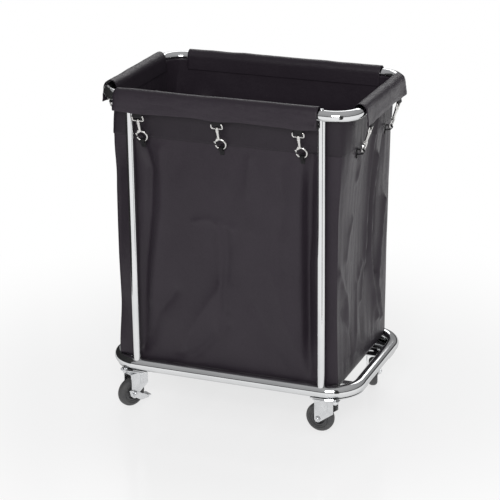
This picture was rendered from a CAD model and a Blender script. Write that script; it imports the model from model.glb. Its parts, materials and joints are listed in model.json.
"""Looks of the housekeeping laundry cart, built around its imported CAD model.

Metres, in the CAD frame: +X along the cart, front at -Y, floor at Z = 0.
"""
import json
import math

import bpy
import numpy as np
from mathutils import Matrix, Vector, noise


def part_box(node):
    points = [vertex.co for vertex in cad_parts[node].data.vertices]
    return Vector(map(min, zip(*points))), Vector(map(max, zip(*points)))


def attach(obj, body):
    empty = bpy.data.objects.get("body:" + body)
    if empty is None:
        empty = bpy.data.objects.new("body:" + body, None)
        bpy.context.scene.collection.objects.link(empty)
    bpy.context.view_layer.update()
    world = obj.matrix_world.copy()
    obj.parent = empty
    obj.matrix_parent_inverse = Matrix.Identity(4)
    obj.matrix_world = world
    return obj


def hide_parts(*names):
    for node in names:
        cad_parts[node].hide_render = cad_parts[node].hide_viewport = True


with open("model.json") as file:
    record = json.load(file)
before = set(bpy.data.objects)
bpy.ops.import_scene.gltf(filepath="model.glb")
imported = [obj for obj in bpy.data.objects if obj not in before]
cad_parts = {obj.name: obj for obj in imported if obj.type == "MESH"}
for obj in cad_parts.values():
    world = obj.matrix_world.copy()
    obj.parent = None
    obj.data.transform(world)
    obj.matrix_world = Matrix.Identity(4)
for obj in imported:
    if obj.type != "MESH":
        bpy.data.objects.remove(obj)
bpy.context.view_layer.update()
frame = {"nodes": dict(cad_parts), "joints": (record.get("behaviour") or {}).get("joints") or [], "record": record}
NODES = frame["nodes"]
JOINTS = {joint["name"]: joint for joint in frame["joints"]}
HOOKS = [name[len("hook_claw_"):] for name in sorted(NODES) if name.startswith("hook_claw_")]
MM = 0.001

# ---- sizes, from the frame -------------------------------------------------

rail_lo, rail_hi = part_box("top_rail")
TUBE = (rail_hi.z - rail_lo.z) / 2
RAIL_X = rail_hi.x - TUBE
RAIL_Y = rail_hi.y - TUBE
RAIL_Z = (rail_hi.z + rail_lo.z) / 2
RAIL_BEND = 60 * MM
base_lo, base_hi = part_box("base_rail")
BASE_TUBE = (base_hi.z - base_lo.z) / 2
BASE_Z = (base_hi.z + base_lo.z) / 2
BASE_BEND = 78 * MM
bag_lo, bag_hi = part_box("bag_walls")
floor_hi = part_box("bag_floor")[1]
CLOTH = 1.2 * MM
BAG_X, BAG_Y, BAG_TOP, BAG_LOW = bag_hi.x, bag_hi.y, bag_hi.z, bag_lo.z
FLOOR_X = floor_hi.x + 1.5 * MM
FLOOR_Y = floor_hi.y + 1.5 * MM
BAG_BEND = RAIL_BEND - TUBE - 0.3 * MM
BAND_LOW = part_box("bag_top_band")[0].z

# Each side of the cart: direction along it and direction out of it
SIDES = {
    "front": (Vector((1, 0, 0)), Vector((0, -1, 0))),
    "right": (Vector((0, 1, 0)), Vector((1, 0, 0))),
    "rear": (Vector((-1, 0, 0)), Vector((0, 1, 0))),
    "left": (Vector((0, -1, 0)), Vector((-1, 0, 0))),
}
LONG_SIDES = ("front", "rear")


def smooth(x, lo, hi):
    """Smooth step from 0 at lo to 1 at hi."""
    t = min(max((x - lo) / (hi - lo), 0.0), 1.0)
    return t * t * (3 - 2 * t)


def wobble(x, y, z, seed=0.0):
    """Smooth noise from about -1 to 1."""
    return noise.noise(Vector((x + 17.3 * seed, y - 9.1 * seed, z + 4.7 * seed)))


# ---- materials -------------------------------------------------------------


class Material:
    """A node material: Principled BSDF and short calls to add nodes before it."""

    def __init__(self, name):
        self.material = bpy.data.materials.new(name)
        self.material.use_nodes = True
        self.tree = self.material.node_tree
        self.bsdf = self.tree.nodes["Principled BSDF"]

    def set(self, **values):
        for name, value in values.items():
            socket = self.bsdf.inputs[name.replace("_", " ")]
            if isinstance(value, bpy.types.NodeSocket):
                self.tree.links.new(value, socket)
            else:
                socket.default_value = value

    def node(self, kind, inputs=None, output=0, **settings):
        made = self.tree.nodes.new(kind)
        for name, value in settings.items():
            setattr(made, name, value)
        for key, value in (inputs or {}).items():
            if isinstance(value, bpy.types.NodeSocket):
                self.tree.links.new(value, made.inputs[key])
            else:
                made.inputs[key].default_value = value
        return made.outputs[output]

    def math(self, operation, a, b=0.0, c=0.0):
        return self.node("ShaderNodeMath", {0: a, 1: b, 2: c}, operation=operation)

    def place(self, kind="Object", scale=(1, 1, 1)):
        made = self.tree.nodes.new("ShaderNodeTexCoord")
        return self.node("ShaderNodeMapping", {"Vector": made.outputs[kind], "Scale": scale})

    def noise(self, scale, detail=3.0, rough=0.55, at=None):
        vector = at if at is not None else self.place()
        return self.node(
            "ShaderNodeTexNoise",
            {"Vector": vector, "Scale": scale, "Detail": detail, "Roughness": rough},
        )

    def ramp(self, value, stops):
        made = self.tree.nodes.new("ShaderNodeValToRGB")
        self.tree.links.new(value, made.inputs[0])
        ramp = made.color_ramp
        while len(ramp.elements) < len(stops):
            ramp.elements.new(0.5)
        for element, (position, colour) in zip(ramp.elements, stops):
            element.position = position
            if not hasattr(colour, "__len__"):
                colour = (colour, colour, colour)
            element.color = (*colour, 1)
        return made.outputs[0]

    def bump(self, height, strength, distance, before=None):
        inputs = {"Height": height, "Strength": strength, "Distance": distance}
        if before is not None:
            inputs["Normal"] = before
        return self.node("ShaderNodeBump", inputs)


def chrome_material():
    """Bright chrome plate: faint polishing lines, fingerprints and dust."""
    m = Material("chrome")
    haze = m.noise(9.0, 4.0)
    spots = m.noise(160.0, 2.0)
    lines = m.noise(900.0, 2.0, at=m.place(scale=(0.06, 0.06, 1)))
    edge = m.node("ShaderNodeLayerWeight", {"Blend": 0.5}, output=1)
    plate = m.ramp(haze, [(0.3, (0.74, 0.75, 0.76)), (0.7, (0.82, 0.825, 0.83))])
    rim = m.ramp(edge, [(0.0, 1.0), (0.45, 0.92), (0.78, 0.62), (1.0, 0.30)])
    m.set(
        Metallic=1.0,
        Base_Color=m.node("ShaderNodeVectorMath", {0: plate, 1: rim}, operation="MULTIPLY"),
        Roughness=m.ramp(m.math("MULTIPLY", haze, m.math("ADD", spots, 0.5)), [(0.25, 0.045), (0.75, 0.11)]),
        Normal=m.bump(lines, 0.05, 0.0002),
    )
    return m.material


def zinc_material():
    """Bright zinc on pressed steel: cloudy tone, fine brushing, dull spots."""
    m = Material("zinc")
    cloud = m.noise(45.0, 5.0)
    grain = m.noise(1400.0, 2.0, at=m.place(scale=(0.15, 1, 1)))
    m.set(
        Metallic=1.0,
        Base_Color=m.ramp(cloud, [(0.3, (0.66, 0.67, 0.68)), (0.7, (0.80, 0.81, 0.82))]),
        Roughness=m.ramp(cloud, [(0.25, 0.20), (0.75, 0.32)]),
        Normal=m.bump(grain, 0.12, 0.0003, m.node("ShaderNodeBevel", {"Radius": 0.0008}, samples=4)),
    )
    return m.material


def nickel_material():
    """Nickel-plated die casting: soft shine, slight orange peel."""
    m = Material("nickel")
    peel = m.noise(420.0, 3.0)
    cloud = m.noise(60.0, 3.0)
    m.set(
        Metallic=1.0,
        Base_Color=m.ramp(cloud, [(0.3, (0.62, 0.61, 0.60)), (0.7, (0.76, 0.75, 0.73))]),
        Roughness=m.ramp(cloud, [(0.3, 0.13), (0.7, 0.24)]),
        Normal=m.bump(peel, 0.12, 0.0003),
    )
    return m.material


def rubber_material():
    """Grey-black tyre: matt, with dust in its fine pitting."""
    m = Material("rubber")
    pits = m.noise(1100.0, 3.0)
    dust = m.noise(70.0, 5.0)
    m.set(
        Base_Color=m.ramp(dust, [(0.35, (0.055, 0.055, 0.058)), (0.75, (0.095, 0.094, 0.092))]),
        Roughness=m.ramp(dust, [(0.3, 0.58), (0.7, 0.74)]),
        Normal=m.bump(pits, 0.25, 0.0003),
    )
    return m.material


def plastic_material():
    """Dark moulded nylon: satin, fine spark-eroded grain."""
    m = Material("wheel_plastic")
    grain = m.noise(900.0, 2.0)
    tone = m.noise(50.0, 4.0)
    m.set(
        Base_Color=m.ramp(tone, [(0.3, (0.050, 0.050, 0.053)), (0.7, (0.075, 0.075, 0.078))]),
        Roughness=m.ramp(tone, [(0.3, 0.38), (0.7, 0.5)]),
        Normal=m.bump(grain, 0.2, 0.0002),
    )
    return m.material


def cloth_material(name, dark, pale, pitch, roughness, sheen):
    """Plain weave of threads pitch apart, read from UVs in metres, with a coating's faint shine."""
    m = Material(name)
    uv = m.node("ShaderNodeSeparateXYZ", {0: m.place("UV")})
    across = uv.node.outputs[0]
    along = uv.node.outputs[1]
    turn = math.pi / pitch
    warp = m.math("SINE", m.math("MULTIPLY", across, turn))
    weft = m.math("SINE", m.math("MULTIPLY", along, turn))
    over = m.math("GREATER_THAN", m.math("MULTIPLY", warp, weft), 0.0)
    warp_high = m.math("POWER", m.math("ABSOLUTE", warp), 0.6)
    weft_high = m.math("POWER", m.math("ABSOLUTE", weft), 0.6)
    height = m.math("ADD", m.math("MULTIPLY", warp_high, over), m.math(
        "MULTIPLY", weft_high, m.math("SUBTRACT", 1.0, over)))
    slub = m.noise(260.0, 3.0)
    cloud = m.noise(7.0, 4.0)
    tone = m.math("ADD", m.math("MULTIPLY", slub, 0.45), m.math("MULTIPLY", cloud, 0.55))
    tone = m.math("ADD", tone, m.math("MULTIPLY", height, 0.12))
    wrinkle = m.noise(38.0, 5.0, 0.6)
    creased = m.bump(wrinkle, 0.22, 0.004)
    m.set(
        Base_Color=m.ramp(tone, [(0.35, dark), (0.75, pale)]),
        Roughness=m.ramp(tone, [(0.3, roughness - 0.05), (0.8, roughness + 0.06)]),
        Normal=m.bump(height, 0.35, 0.00022, creased),
        IOR=1.34,
        Sheen_Weight=sheen,
        Sheen_Roughness=0.45,
        Sheen_Tint=(0.9, 0.9, 1.0, 1),
    )
    return m.material


def thread_material():
    """Black polyester thread: a twist along each stitch."""
    m = Material("thread")
    twist = m.noise(2400.0, 2.0)
    m.set(
        Base_Color=m.ramp(twist, [(0.3, (0.020, 0.019, 0.021)), (0.7, (0.045, 0.044, 0.047))]),
        Roughness=0.55,
        Normal=m.bump(twist, 0.3, 0.0002),
    )
    return m.material


CHROME = chrome_material()
ZINC = zinc_material()
NICKEL = nickel_material()
RUBBER = rubber_material()
PLASTIC = plastic_material()
BAG_CLOTH = cloth_material(
    "bag_cloth", (0.0215, 0.0160, 0.0228), (0.0310, 0.0242, 0.0325), 0.9 * MM, 0.38, 0.02
)
BAND_CLOTH = cloth_material(
    "band_cloth", (0.0150, 0.0110, 0.0160), (0.0225, 0.0172, 0.0238), 0.9 * MM, 0.42, 0.02
)
WEBBING = cloth_material("webbing", (0.0050, 0.0048, 0.0054), (0.0105, 0.0100, 0.0112), 1.5 * MM, 0.60, 0.03)
THREAD = thread_material()

SLOT_MATERIALS = {
    "chrome_tube": CHROME,
    "zinc_steel": ZINC,
    "nickel": NICKEL,
    "tyre_rubber": RUBBER,
    "wheel_plastic": PLASTIC,
    "bag_cloth": BAG_CLOTH,
    "webbing": WEBBING,
}


def paint_cad_nodes():
    """Gives every CAD node the material of its slot, and smooth round faces."""
    for part in frame["record"]["subparts"]:
        node = NODES[part["node"]]
        node.data.materials.clear()
        node.data.materials.append(SLOT_MATERIALS[part["material_slot"]])


# ---- mesh helpers ----------------------------------------------------------


def piece(name, vertices, faces, material, body="root", uvs=None):
    """A smooth mesh object that rides on a body. uvs has one pair for each vertex."""
    mesh = bpy.data.meshes.new(name)
    mesh.from_pydata([tuple(v) for v in vertices], [], faces)
    mesh.materials.append(material)
    mesh.shade_smooth()
    if uvs is not None:
        layer = mesh.uv_layers.new(name="cloth")
        corner = np.zeros(len(mesh.loops), np.int32)
        mesh.loops.foreach_get("vertex_index", corner)
        layer.data.foreach_set("uv", np.asarray(uvs, np.float32)[corner].ravel())
    made = bpy.data.objects.new(name, mesh)
    bpy.context.scene.collection.objects.link(made)
    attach(made, body)
    return made


def grid_faces(rows, columns, closed=False):
    """Quads of a grid whose vertices are stored row by row. closed joins the last column to the first."""
    faces = []
    for r in range(rows - 1):
        for c in range(columns if closed else columns - 1):
            d = (c + 1) % columns
            faces.append((r * columns + c, r * columns + d, (r + 1) * columns + d, (r + 1) * columns + c))
    return faces


def thicken(made, thickness, offset):
    """Gives a sheet its thickness: offset 1 grows out along the normals, -1 grows in."""
    solid = made.modifiers.new("thickness", "SOLIDIFY")
    solid.thickness = thickness
    solid.offset = offset
    solid.use_quality_normals = True
    return made


def stitch_row(points, outward, lift):
    """Stitches along a polyline: vertices and faces of slim diamonds that stand lift out of the cloth."""
    pitch, half_length, half_width, half_height = 3.6 * MM, 1.25 * MM, 0.35 * MM, 0.28 * MM
    points, outward = np.asarray(points, float), np.asarray(outward, float)
    steps = np.linalg.norm(np.diff(points, axis=0), axis=1)
    run = np.concatenate([[0], np.cumsum(steps)])
    vertices, faces = [], []
    for at in np.arange(pitch, run[-1] - pitch, pitch):
        i = min(np.searchsorted(run, at), len(points) - 1)
        share = (at - run[i - 1]) / max(steps[i - 1], 1e-9)
        along = (points[i] - points[i - 1]) / max(steps[i - 1], 1e-9)
        out = outward[i - 1] * (1 - share) + outward[i] * share
        out /= np.linalg.norm(out)
        across = np.cross(along, out)
        middle = points[i - 1] * (1 - share) + points[i] * share + out * lift
        base = len(vertices)
        for way, reach in ((along, half_length), (across, half_width), (out, half_height)):
            vertices += [middle - way * reach, middle + way * reach]
        for a in (0, 1):
            for b in (2, 3):
                for c in (4, 5):
                    turn = (a + b + c) % 2
                    faces.append((base + a, base + b, base + c) if turn else (base + b, base + a, base + c))
    return vertices, faces


def make_stitches(name, rows):
    """One piece of thread from rows of points, outward directions and lifts."""
    vertices, faces = [], []
    for points, outward, lift in rows:
        more, joined = stitch_row(points, outward, lift)
        faces += [tuple(len(vertices) + v for v in face) for face in joined]
        vertices += more
    return piece(name, vertices, faces, THREAD)


# ---- bag -------------------------------------------------------------------

FOLD_GAIN = 1.6
# Folds of each wall: height, half width, and the route along the wall and up, in millimetres
FOLDS = {
    "front": [
        (-9, 12, [(-232, 740), (-200, 650), (-204, 540), (-220, 405), (-226, 295), (-234, 160)]),
        (3, 14, [(-176, 700), (-172, 560), (-192, 420), (-204, 300)]),
        (-6, 12, [(222, 730), (222, 540), (214, 435), (214, 250), (218, 155)]),
        (2.2, 8, [(-82, 528), (-45, 538), (-20, 530), (20, 522)]),
        (2.8, 10, [(-24, 525), (-17, 420), (-20, 330), (-30, 240)]),
        (-3.6, 10, [(-3, 520), (2, 470), (-4, 390), (-6, 300)]),
        (4.5, 18, [(-15, 365), (-65, 290), (-105, 230), (-130, 170)]),
        (-4.5, 16, [(-145, 335), (-190, 270), (-212, 190)]),
        (-4.5, 15, [(-5, 260), (-65, 195), (-110, 150)]),
        (3, 18, [(120, 420), (150, 300), (190, 210)]),
        (-3, 18, [(60, 330), (110, 230), (150, 165)]),
        (1.8, 12, [(60, 700), (52, 600), (70, 520)]),
        (-2.2, 12, [(140, 690), (150, 600), (128, 500), (140, 430)]),
    ],
    "right": [
        (3, 8, [(-80, 730), (-66, 675), (-84, 640)]),
        (6, 8, [(18, 770), (15, 665), (14, 530), (4, 400), (-8, 300)]),
        (-4, 10, [(40, 740), (34, 640), (26, 500), (20, 380)]),
        (7, 10, [(66, 660), (52, 550), (44, 415), (66, 330), (112, 210)]),
        (-4, 10, [(116, 700), (92, 540), (84, 440), (100, 340)]),
        (6, 9, [(150, 520), (128, 385), (112, 300), (142, 200)]),
        (2.5, 9, [(-96, 545), (-120, 510), (-132, 450)]),
        (3.5, 10, [(-14, 400), (-50, 352), (-46, 240), (-60, 180)]),
        (-3, 11, [(10, 380), (-8, 300), (0, 190)]),
        (3.5, 10, [(-176, 430), (-130, 352), (-106, 270), (-100, 190)]),
        (-3, 11, [(-150, 320), (-90, 230), (-80, 160)]),
    ],
    "rear": [
        (-6, 14, [(-222, 730), (-214, 560), (-222, 300), (-230, 170)]),
        (-6, 14, [(224, 720), (208, 600), (220, 380), (226, 170)]),
        (5, 20, [(-120, 640), (-60, 520), (-40, 380)]),
        (-4, 18, [(40, 560), (60, 420), (30, 280)]),
        (6, 24, [(150, 360), (90, 280), (40, 190)]),
        (-5, 18, [(-160, 300), (-110, 220), (-40, 160)]),
    ],
    "left": [
        (6, 12, [(-60, 740), (-50, 600), (-64, 470)]),
        (-5, 14, [(-20, 700), (-10, 520), (-24, 380)]),
        (8, 13, [(40, 690), (62, 540), (46, 400), (60, 260)]),
        (-6, 14, [(100, 600), (110, 450), (90, 300)]),
        (6, 13, [(-120, 420), (-90, 330), (-110, 220)]),
        (5, 16, [(140, 380), (120, 280), (136, 180)]),
    ],
}


def route_distance(points, route):
    """Distance of each point from a polyline, all in the wall's own plane."""
    best = np.full(len(points), 1e9)
    for a, b in zip(route, route[1:]):
        a, b = np.array(a, float), np.array(b, float)
        d = b - a
        t = np.clip(((points - a) @ d) / (d @ d), 0, 1)
        best = np.minimum(best, np.linalg.norm(points - a - t[:, None] * d, axis=1))
    return best


def fold_height(side, flat):
    """How far the folds push each point of a wall out. flat is along the wall and up, in millimetres."""
    out = np.zeros(len(flat))
    for height, width, route in FOLDS[side]:
        blunt = 0.35 * width
        away = np.hypot(route_distance(flat, route), blunt) - blunt
        out += FOLD_GAIN * height * np.exp(-1.15 * away / width)
    return out


# How far round the rail's bends the corner seams lie, from the front or the rear
SEAM_TURN = 24


def bag_outline(side, t, share):
    """Point of the empty bag's wall: t is -1 to 1 from seam to seam, share 0 to 1 from floor to mouth."""
    long_side = side in LONG_SIDES
    half, out = (BAG_X, BAG_Y) if long_side else (BAG_Y, BAG_X)
    low_half, low_out = (FLOOR_X, FLOOR_Y) if long_side else (FLOOR_Y, FLOOR_X)
    half = low_half + (half - low_half) * share
    out = low_out + (out - low_out) * share
    straight = half - BAG_BEND
    s = abs(t) * (straight + BAG_BEND * math.radians(SEAM_TURN if long_side else 90 - SEAM_TURN))
    if s > straight:
        turn = (s - straight) / BAG_BEND
        round_along = straight + BAG_BEND * math.sin(turn)
        round_out = out - BAG_BEND + BAG_BEND * math.cos(turn)
    else:
        round_along, round_out = s, out
    bent = share ** 6
    along = abs(t) * half * (1 - bent) + round_along * bent
    return math.copysign(along, t), out * (1 - bent) + round_out * bent


# How far the walls' sewn edge hangs below the bag's floor
SEAM_DROP = 1.5 * MM


def over_base_rail(x, y, clear, low):
    """Height of cloth at x, y that hangs to low where it can and lies on the base rail where it must."""
    corner_x = max(abs(x) - (RAIL_X - BASE_BEND), 0)
    corner_y = max(abs(y) - (RAIL_Y - BASE_BEND), 0)
    if corner_x > 0 and corner_y > 0:
        away = abs(math.hypot(corner_x, corner_y) - BASE_BEND)
    else:
        away = min(abs(RAIL_X - abs(x)), abs(RAIL_Y - abs(y)))
    reach = BASE_TUBE + clear
    if away >= reach:
        return low
    return max(low, BASE_Z + math.sqrt(reach * reach - away * away))


def bag_wall_grid(columns_long=120, columns_short=84, rows=132, top=None, bottom=None):
    """Vertices and UVs of the four walls as one closed band, from the floor up, with their folds."""
    top = BAG_TOP if top is None else top
    bottom = BAG_LOW - SEAM_DROP if bottom is None else bottom
    names = ["front", "right", "rear", "left"]
    stations = []
    run = 0.0
    for side in names:
        count = columns_long if side in LONG_SIDES else columns_short
        span = 2 * (FLOOR_X if side in LONG_SIDES else FLOOR_Y)
        for i in range(count):
            stations.append((side, -1 + 2 * i / count, run + span * i / count))
        run += span
    vertices = np.zeros((rows, len(stations), 3))
    uvs = np.zeros((rows, len(stations), 2))
    outward = np.zeros((rows, len(stations), 3))
    lowest = []
    for side, t, _ in stations:
        along, out = bag_outline(side, t, 0)
        foot = SIDES[side][0] * along + SIDES[side][1] * out + Vector((0, 0, BAG_LOW))
        x, y, _ = settle(np.array(foot))
        lowest.append(over_base_rail(x, y, 1.6 * MM, bottom))
    for r in range(rows):
        for c, (side, t, u) in enumerate(stations):
            z = lowest[c] + (top - lowest[c]) * r / (rows - 1)
            share = (z - BAG_LOW) / (BAG_TOP - BAG_LOW)
            along_dir, out_dir = SIDES[side]
            along, out = bag_outline(side, t, share)
            vertices[r, c] = along_dir * along + out_dir * out + Vector((0, 0, z))
            corner = max(0.0, (abs(t) - 0.9) / 0.1)
            lean = out_dir + along_dir * math.copysign(corner, t)
            outward[r, c] = lean.normalized()
            uvs[r, c] = (u, z)
    for side in names:
        along_dir, out_dir = (np.array(v) for v in SIDES[side])
        columns = [c for c, s in enumerate(stations) if s[0] == side]
        block = vertices[:, columns].reshape(-1, 3)
        flat = np.stack([block @ along_dir, block[:, 2]], 1) / MM
        push = fold_height(side, flat)
        push += pillow(side, flat)
        ts = np.array([stations[c][1] for c in columns])
        window = np.clip((1 - np.abs(ts)) / 0.05, 0, 1)
        window = np.tile(window * window * (3 - 2 * window), rows)
        share = (block[:, 2] - BAG_LOW) / (BAG_TOP - BAG_LOW)
        fade = np.clip(share / 0.05, 0, 1) * np.clip((1.0 - share) / 0.1, 0, 1)
        streaks = 0.6 if side in LONG_SIDES else 3.4
        fine = np.array([
            1.6 * wobble(p[0] * 11, p[1] * 11, p[2] * 4.5)
            + 0.9 * wobble(p[0] * 30, p[1] * 30, p[2] * 13, 2)
            + 1.3 * (0.25 - abs(wobble(p[0] * 19, p[1] * 19, p[2] * 7, 4)))
            + 0.4 * (0.25 - abs(wobble(p[0] * 55, p[1] * 55, p[2] * 38, 6)))
            + streaks * (0.3 - abs(wobble(p[1] * 42, p[0] * 9, p[2] * 3.4, 8)))
            for p in block
        ])
        push = (push * window + fine * (0.25 + 0.75 * window)) * fade * MM
        vertices[:, columns] += outward[:, columns] * push.reshape(rows, len(columns), 1)
    return settle(vertices), uvs, stations


def settle(points):
    """Uneven hang of the bag: its left end swells, its right end narrows low down, one corner turns in."""
    x, y, z = points[..., 0] / MM, points[..., 1] / MM, points[..., 2] / MM
    body = np.clip((z - 150) / 140, 0, 1) * np.clip((745 - z) / 140, 0, 1)
    body = body * body * (3 - 2 * body)
    left = np.clip((-x - 150) / 140, 0, 1)
    right = np.clip((x - 150) / 130, 0, 1)
    swell = np.interp(z, [134, 400, 600, 745, 800], [12, 10, 6, 2, 0])
    narrow = np.interp(z, [134, 400, 560, 700, 790], [6, 11, 11, 6, 0])
    pinch = np.interp(z, [134, 300, 600, 760], [0, 5, 6, 0]) * np.clip((-y - 120) / 65, 0, 1)
    corner = np.clip((-x - 238) / 55, 0, 1) ** 1.3 * np.clip((-y - 90) / 95, 0, 1)
    moved = points.copy()
    moved[..., 0] -= (left * swell + right * (narrow + pinch)) * MM
    moved[..., 1] += 22 * corner * body * MM
    return moved


def pillow(side, flat):
    """Wide swell of a wall between the uprights, and its pull in behind them, in millimetres."""
    along, z = flat[:, 0], flat[:, 1]
    up = np.clip((z - 150) / 140, 0, 1) * np.clip((745 - z) / 140, 0, 1)
    up = up * up * (3 - 2 * up)
    if side in LONG_SIDES:
        between = np.clip(1 - (np.abs(along) / 228) ** 6, 0, 1)
        rising = np.clip((along - 198) / 10, 0, 1) * np.clip((242 - along) / 32, 0, 1)
        return up * (8.5 * between - (17 * rising if side == "front" else 0))
    return -up * 5 * np.clip(1 - (np.abs(along) / 180) ** 2, 0, 1)


def make_bag_walls():
    vertices, uvs, stations = bag_wall_grid()
    rows, columns = vertices.shape[:2]
    walls = piece(
        "bag_body",
        vertices.reshape(-1, 3),
        grid_faces(rows, columns, closed=True),
        BAG_CLOTH,
        uvs=uvs.reshape(-1, 2),
    )
    thicken(walls, CLOTH, -1)
    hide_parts("bag_walls")
    return walls


def make_bag_band():
    """Outer layer of cloth round the bag's mouth, down to the loops."""
    vertices, uvs, _ = bag_wall_grid(rows=22, top=BAG_TOP - 4 * MM, bottom=BAND_LOW)
    rows, columns = vertices.shape[:2]
    out = vertices * np.array([1, 1, 0])
    out /= np.linalg.norm(out, axis=2, keepdims=True)
    vertices = vertices + out * 0.9 * MM
    band = piece(
        "bag_mouth_band",
        vertices.reshape(-1, 3),
        grid_faces(rows, columns, closed=True),
        BAND_CLOTH,
        uvs=uvs.reshape(-1, 2),
    )
    thicken(band, 1.1 * MM, 1)
    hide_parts("bag_top_band")
    row = np.concatenate([vertices[1], vertices[1][:1]])
    ahead = np.roll(vertices[1], -1, axis=0) - np.roll(vertices[1], 1, axis=0)
    facing = np.cross(ahead, (0, 0, 1))
    facing /= np.linalg.norm(facing, axis=1, keepdims=True)
    make_stitches("band_stitches", [(row, np.concatenate([facing, facing[:1]]), 1.3 * MM)])
    return band


def make_bag_floor():
    """Bottom of the bag, slack between its seams."""
    across, along = 64, 42
    vertices, uvs = [], []
    for j in range(along + 1):
        for i in range(across + 1):
            x = (2 * i / across - 1) * (FLOOR_X - 1.4 * MM)
            y = (2 * j / along - 1) * (FLOOR_Y - 1.4 * MM)
            edge = (1 - (x / FLOOR_X) ** 4) * (1 - (y / FLOOR_Y) ** 4)
            sag = -2.6 * MM * edge * (0.5 - 0.5 * math.cos(x / 0.170 * 2 * math.pi))
            ripple = 0.9 * MM * wobble(x * 14, y * 14, 0.5, 3) * edge
            vertices.append((x, y, over_base_rail(x, y, 2.2 * MM, BAG_LOW) + 1.4 * MM + sag + ripple))
            uvs.append((x, y))
    vertices = settle(np.array(vertices))
    made = piece(
        "bag_bottom", vertices, grid_faces(along + 1, across + 1), BAG_CLOTH, uvs=uvs
    )
    thicken(made, CLOTH, 1)
    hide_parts("bag_floor")
    return made


# ---- flaps -----------------------------------------------------------------

# Section of a flap, from inside the bag over the rail to the hem: out from the rail's centre, up from it
FLAP_SECTION = [
    (-17.0, -30), (-16.9, -22), (-16.6, -12), (-16.2, -4), (-15.8, 3), (-14.6, 9), (-11.6, 14.6),
    (-7.0, 18.6), (-1.0, 20.6), (5.0, 19.8), (10.6, 16.8), (14.8, 12.0), (17.2, 6.0), (18.0, -1),
    (18.0, -8), (17.9, -16), (17.8, -24), (17.6, -30), (17.2, -35.4), (16.3, -36.6), (15.7, -35.2),
    (15.7, -30), (15.8, -24.5),
]
HEM_POINT = 19
SEAM_POINT = 16


def rail_path(side, s):
    """Point of the rail's centreline s along a side from its middle, and the direction out of the cart."""
    along_dir, out_dir = SIDES[side]
    half, out = (RAIL_X, RAIL_Y) if side in LONG_SIDES else (RAIL_Y, RAIL_X)
    straight = half - RAIL_BEND
    if abs(s) <= straight:
        return along_dir * s + out_dir * out, out_dir
    turn = (abs(s) - straight) / RAIL_BEND
    way = math.copysign(1, s)
    point = along_dir * way * (straight + RAIL_BEND * math.sin(turn))
    point += out_dir * (out - RAIL_BEND + RAIL_BEND * math.cos(turn))
    return point, (out_dir * math.cos(turn) + along_dir * way * math.sin(turn)).normalized()


def hooks_along(side):
    """Places along a side where its snap hooks hang."""
    along_dir, out_dir = SIDES[side]
    found = []
    for name in HOOKS:
        place = Vector(JOINTS["claw_turn_" + name]["pos_m"])
        if place.dot(out_dir) > 0.9 * (RAIL_Y if side in LONG_SIDES else RAIL_X):
            found.append(place.dot(along_dir))
    return sorted(found)


def section_curve(steps=3):
    """The flap's section, with steps points between each two of its own, along a smooth spline."""
    p = [np.array(q, float) for q in FLAP_SECTION]
    out = []
    for i in range(len(p) - 1):
        a, b, c, d = p[max(i - 1, 0)], p[i], p[i + 1], p[min(i + 2, len(p) - 1)]
        for k in range(steps):
            t = k / steps
            out.append(0.5 * (2 * b + (c - a) * t + (2 * a - 5 * b + 4 * c - d) * t * t
                              + (3 * b - a - 3 * c + d) * t ** 3))
    out.append(p[-1])
    return np.array(out)


def make_flap(side, start, end, seed):
    """Cloth folded over the rail from start to end, with a sewn hem that is drawn down at the hooks."""
    section = section_curve()
    lengths = np.concatenate([[0], np.cumsum(np.linalg.norm(np.diff(section, axis=0), axis=1))])
    hem = HEM_POINT * 3
    hooks = hooks_along(side)
    columns = int((end - start) / (5 * MM)) + 1
    vertices, uvs = [], []
    seam, facing = [], []
    for i in range(columns):
        s = start + (end - start) * i / (columns - 1)
        centre, out_dir = rail_path(side, s)
        near = max([math.exp(-((s - h) / 0.030) ** 2) for h in hooks] or [0])
        from_end = min(s - start, end - s)
        free = 1 - smooth(from_end, 0, 0.022)
        rise = (1 - near) * (3.4 + 2.6 * wobble(s * 9, seed, 0.3)) - 2.0 * free * wobble(s * 3, seed, 7)
        crest = 1.6 * wobble(s * 7, seed, 3.1) + 0.8 * wobble(s * 23, seed, 5.2)
        lean = 1.2 * wobble(s * 12, seed, 8.4)
        for k, (out, up) in enumerate(section):
            high = smooth(up, 6, 20) if k < hem else 0.0
            outer = smooth(out, 4, 17)
            low = smooth(-up, 4, 36) * outer
            wrinkle = 0.7 * wobble(s * 26, up / 11, seed * 3.3) + 0.5 * wobble(s * 60, up / 6, seed * 5.1)
            proud = outer * (1.6 + 1.3 * wobble(s * 15, up / 16, seed))
            proud = proud * smooth(-up, -14, 14) * (1 - 0.8 * near)
            shift_out = proud + 3.4 * free * outer * low + lean * high + wrinkle * outer * 0.8
            shift_up = (crest + wrinkle * 0.5) * high + rise * low
            shift_out -= 0.6 * free * (1 - outer) * smooth(up, -30, 10)
            point = centre + out_dir * (out + shift_out) * MM
            vertices.append(point + Vector((0, 0, RAIL_Z + (up + shift_up) * MM)))
            uvs.append((s, lengths[k] * MM))
            if k == SEAM_POINT * 3:
                seam.append(vertices[-1])
                facing.append(out_dir)
    make_stitches("hem_stitches_" + side, [(seam, facing, 0.7 * MM)])
    made = piece(
        "flap_" + side,
        vertices,
        grid_faces(columns, len(section)),
        BAG_CLOTH,
        uvs=uvs,
    )
    thicken(made, 1.0 * MM, 0)
    return made


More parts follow.
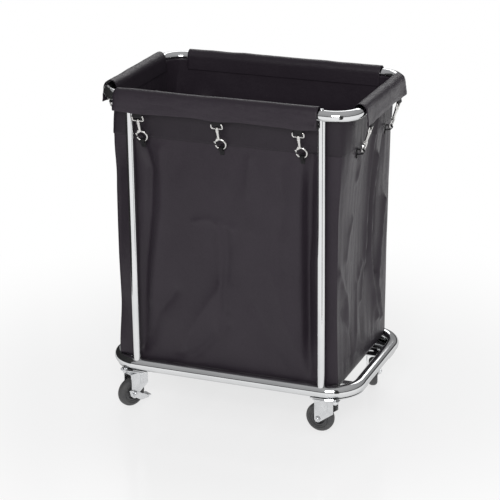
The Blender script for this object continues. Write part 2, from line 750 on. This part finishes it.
def make_flaps():
    """Front, rear and end flaps."""
    front_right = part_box("upright_screws")[1].x - 2 * 5.4 * MM - 0.6 * MM
    front = make_flap("front", -281 * MM, front_right, 1.0)
    rear = make_flap("rear", -264 * MM, 264 * MM, 2.0)
    right = make_flap("right", -151 * MM, 151 * MM, 3.0)
    left = make_flap("left", -151 * MM, 151 * MM, 4.0)
    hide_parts("bag_flaps_long")
    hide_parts("bag_flaps_short")
    return front, rear, right, left


# ---- webbing ---------------------------------------------------------------


def hook_frame(name):
    """Matrix of a hook's own frame: origin on the eye's top bar, outside at -Y, hanging down -Z."""
    joint = JOINTS["claw_turn_" + name]
    up = Vector(joint["axis"]).normalized()
    below = 12 * MM
    origin = Vector(joint["pos_m"]) + up * below
    side = Vector((-up.y, up.x, 0)).normalized()
    if side.length < 0.5:
        side = Vector((1, 0, 0))
    back = up.cross(side)
    return Matrix((
        (side.x, back.x, up.x, origin.x),
        (side.y, back.y, up.y, origin.y),
        (side.z, back.z, up.z, origin.z),
        (0, 0, 0, 1),
    ))


def upright_frame(name):
    """A hook's frame turned upright: origin on the eye's top bar, +Y into the cart, +Z up."""
    m = hook_frame(name)
    side = Vector((m[0][0], m[1][0], 0)).normalized()
    inward = Vector((0, 0, 1)).cross(side)
    origin = m.to_translation()
    return Matrix((
        (side.x, inward.x, 0, origin.x),
        (side.y, inward.y, 0, origin.y),
        (0, 0, 1, origin.z),
        (0, 0, 0, 1),
    ))


def arc_points(centre, radius, start, end, count):
    return [
        (
            centre[0] + radius * math.cos(math.radians(start + (end - start) * i / count)),
            centre[1] + radius * math.sin(math.radians(start + (end - start) * i / count)),
        )
        for i in range(count + 1)
    ]


def make_webbing():
    """Tabs from the hems round the eyes, and loops from the bag round the claws."""
    tabs, loops = ([], [], []), ([], [], [])
    for name in HOOKS:
        m = upright_frame(name)
        tab = [(1.6, 14), (1.7, 9), (2.2, 4)]
        tab += arc_points((0, 0), 3.0, 20, -200, 12)
        tab += [(-2.2, 4), (-1.0, 9), (-0.6, 14)]
        add_strap(tabs, m, tab, 24 * MM)
        deep = {"f": 29.0, "r": 29.0, "e": 36.4, "w": 31.4}[name[0]]
        loop = [(deep, -84), (deep - 0.2, -79), (deep - 1.2, -75)]
        loop += arc_points((22.6, -66.9), 5.1, 270, 90, 10)
        loop += [(deep - 2.0, -61.6), (deep - 0.9, -66), (deep - 0.9, -74), (deep - 1.2, -83)]
        add_strap(loops, m, loop, 11 * MM, 2.5 * MM)
    for parts, name, node in ((tabs, "flap_tabs", "bag_flap_tabs"), (loops, "claw_loops", "bag_loops")):
        made = piece(name, parts[0], parts[1], WEBBING, uvs=parts[2])
        thicken(made, 1.2 * MM, 0)
        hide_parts(node)


def add_strap(parts, m, path, width, shift=0.0):
    """Adds one strap along a path of points in the frame m to lists of vertices, faces and UVs."""
    across = 7
    base = len(parts[0])
    run = 0.0
    for i, p in enumerate(path):
        if i:
            run += math.dist(p, path[i - 1])
        for k in range(across):
            x = (k / (across - 1) - 0.5) * width + shift
            parts[0].append(m @ Vector((x, p[0] * MM, p[1] * MM)))
            parts[2].append((x, run * MM))
    for face in grid_faces(len(path), across):
        parts[1].append(tuple(base + v for v in face))


# ---- studio ----------------------------------------------------------------


def make_camera():
    """Camera at the front right, above the cart."""
    place = (1.6865, -4.2604, 2.0760)
    turn, tilt, roll = 21.808, 69.849, -0.654
    camera = bpy.data.cameras.new("camera")
    camera.sensor_width = 36
    camera.lens = 137.08
    made = bpy.data.objects.new("camera", camera)
    bpy.context.scene.collection.objects.link(made)
    made.matrix_world = (
        Matrix.Translation(place)
        @ Matrix.Rotation(math.radians(turn), 4, "Z")
        @ Matrix.Rotation(math.radians(tilt), 4, "X")
        @ Matrix.Rotation(math.radians(roll), 4, "Z")
    )
    bpy.context.scene.camera = made


def make_area_light(name, place, size, power, look_at=(0, 0, 0.45), colour=(1, 1, 1)):
    light = bpy.data.lights.new(name, "AREA")
    light.shape = "RECTANGLE"
    light.size, light.size_y = size
    light.energy = power
    light.color = colour
    made = bpy.data.objects.new(name, light)
    bpy.context.scene.collection.objects.link(made)
    made.location = place
    made.rotation_euler = (Vector(look_at) - Vector(place)).to_track_quat("-Z", "Y").to_euler()
    return made


def make_flag(name, start, end, height):
    """Dark upright card on the floor that only the shiny things see."""
    card = bpy.data.meshes.new(name)
    (x0, y0), (x1, y1) = start, end
    card.from_pydata([(x0, y0, 0), (x1, y1, 0), (x1, y1, height), (x0, y0, height)], [], [(0, 1, 2, 3)])
    m = Material(name)
    m.set(Base_Color=m.ramp(m.noise(4.0), [(0.3, 0.015), (0.7, 0.025)]), Roughness=0.9)
    card.materials.append(m.material)
    made = bpy.data.objects.new(name, card)
    bpy.context.scene.collection.objects.link(made)
    made.visible_camera = False
    made.visible_diffuse = False
    made.visible_shadow = False


def make_studio():
    """White room: pale floor, bright walls with a dark gap above the horizon, and soft boxes."""
    floor = bpy.data.meshes.new("floor")
    reach = 30.0
    corners = [(-reach, -reach, 0), (reach, -reach, 0), (reach, reach, 0), (-reach, reach, 0)]
    floor.from_pydata(corners, [], [(0, 1, 2, 3)])
    m = Material("floor")
    mottle = m.noise(3.0, 3.0)
    m.set(
        Base_Color=m.ramp(mottle, [(0.3, 0.905), (0.7, 0.92)]),
        Roughness=0.16,
        IOR=1.42,
    )
    spot = m.node("ShaderNodeTexCoord", output=3)
    away = m.node("ShaderNodeVectorMath", {0: spot}, output=1, operation="LENGTH")
    far = m.node("ShaderNodeMapRange", {"Value": away, "From Min": 0.35, "From Max": 1.3, "To Min": 0.72},
                 interpolation_type="SMOOTHSTEP")
    glow = m.node("ShaderNodeEmission", {"Color": (1, 1, 1, 1), "Strength": 1.0})
    both = m.node("ShaderNodeMixShader", {0: far, 1: m.bsdf.outputs[0], 2: glow})
    m.tree.links.new(both, m.tree.nodes["Material Output"].inputs["Surface"])
    floor.materials.append(m.material)
    made = bpy.data.objects.new("floor", floor)
    bpy.context.scene.collection.objects.link(made)
    made.location.z = -0.0004

    world = bpy.data.worlds.new("studio")
    bpy.context.scene.world = world
    world.use_nodes = True
    tree = world.node_tree
    background = tree.nodes["Background"]
    coordinates = tree.nodes.new("ShaderNodeTexCoord")
    split = tree.nodes.new("ShaderNodeSeparateXYZ")
    tree.links.new(coordinates.outputs["Generated"], split.inputs[0])
    ramp = tree.nodes.new("ShaderNodeValToRGB")
    tree.links.new(split.outputs["Z"], ramp.inputs[0])
    stops = [(0.0, 0.95), (0.01, 0.05), (0.16, 0.06), (0.26, 0.34), (0.6, 0.36), (0.90, 0.42)]
    while len(ramp.color_ramp.elements) < len(stops):
        ramp.color_ramp.elements.new(0.5)
    for element, (position, value) in zip(ramp.color_ramp.elements, stops):
        element.position = position
        element.color = (value, value, value * 1.01, 1)
    path = tree.nodes.new("ShaderNodeLightPath")
    mix = tree.nodes.new("ShaderNodeMix")
    mix.data_type = "RGBA"
    tree.links.new(path.outputs["Is Camera Ray"], mix.inputs["Factor"])
    tree.links.new(ramp.outputs[0], mix.inputs["A"])
    mix.inputs["B"].default_value = (1, 1, 1, 1)
    tree.links.new(mix.outputs["Result"], background.inputs["Color"])
    background.inputs["Strength"].default_value = 1.0

    make_flag("flag_left", (-1.05, -1.1), (-1.05, 0.8), 1.5)
    make_flag("flag_line", (0.685, -0.877), (0.834, -0.752), 1.2)

    make_area_light("key", (1.3, -4.0, 2.7), (2.0, 1.8), 100, (0, 0, 0.5))
    make_area_light("back", (-0.6, 3.4, 3.0), (3.6, 1.6), 45)
    bpy.context.scene.view_settings.view_transform = "Standard"
    bpy.context.scene.view_settings.look = "None"


make_camera()
make_studio()
paint_cad_nodes()
make_bag_walls()
make_bag_band()
make_bag_floor()
make_flaps()
make_webbing()
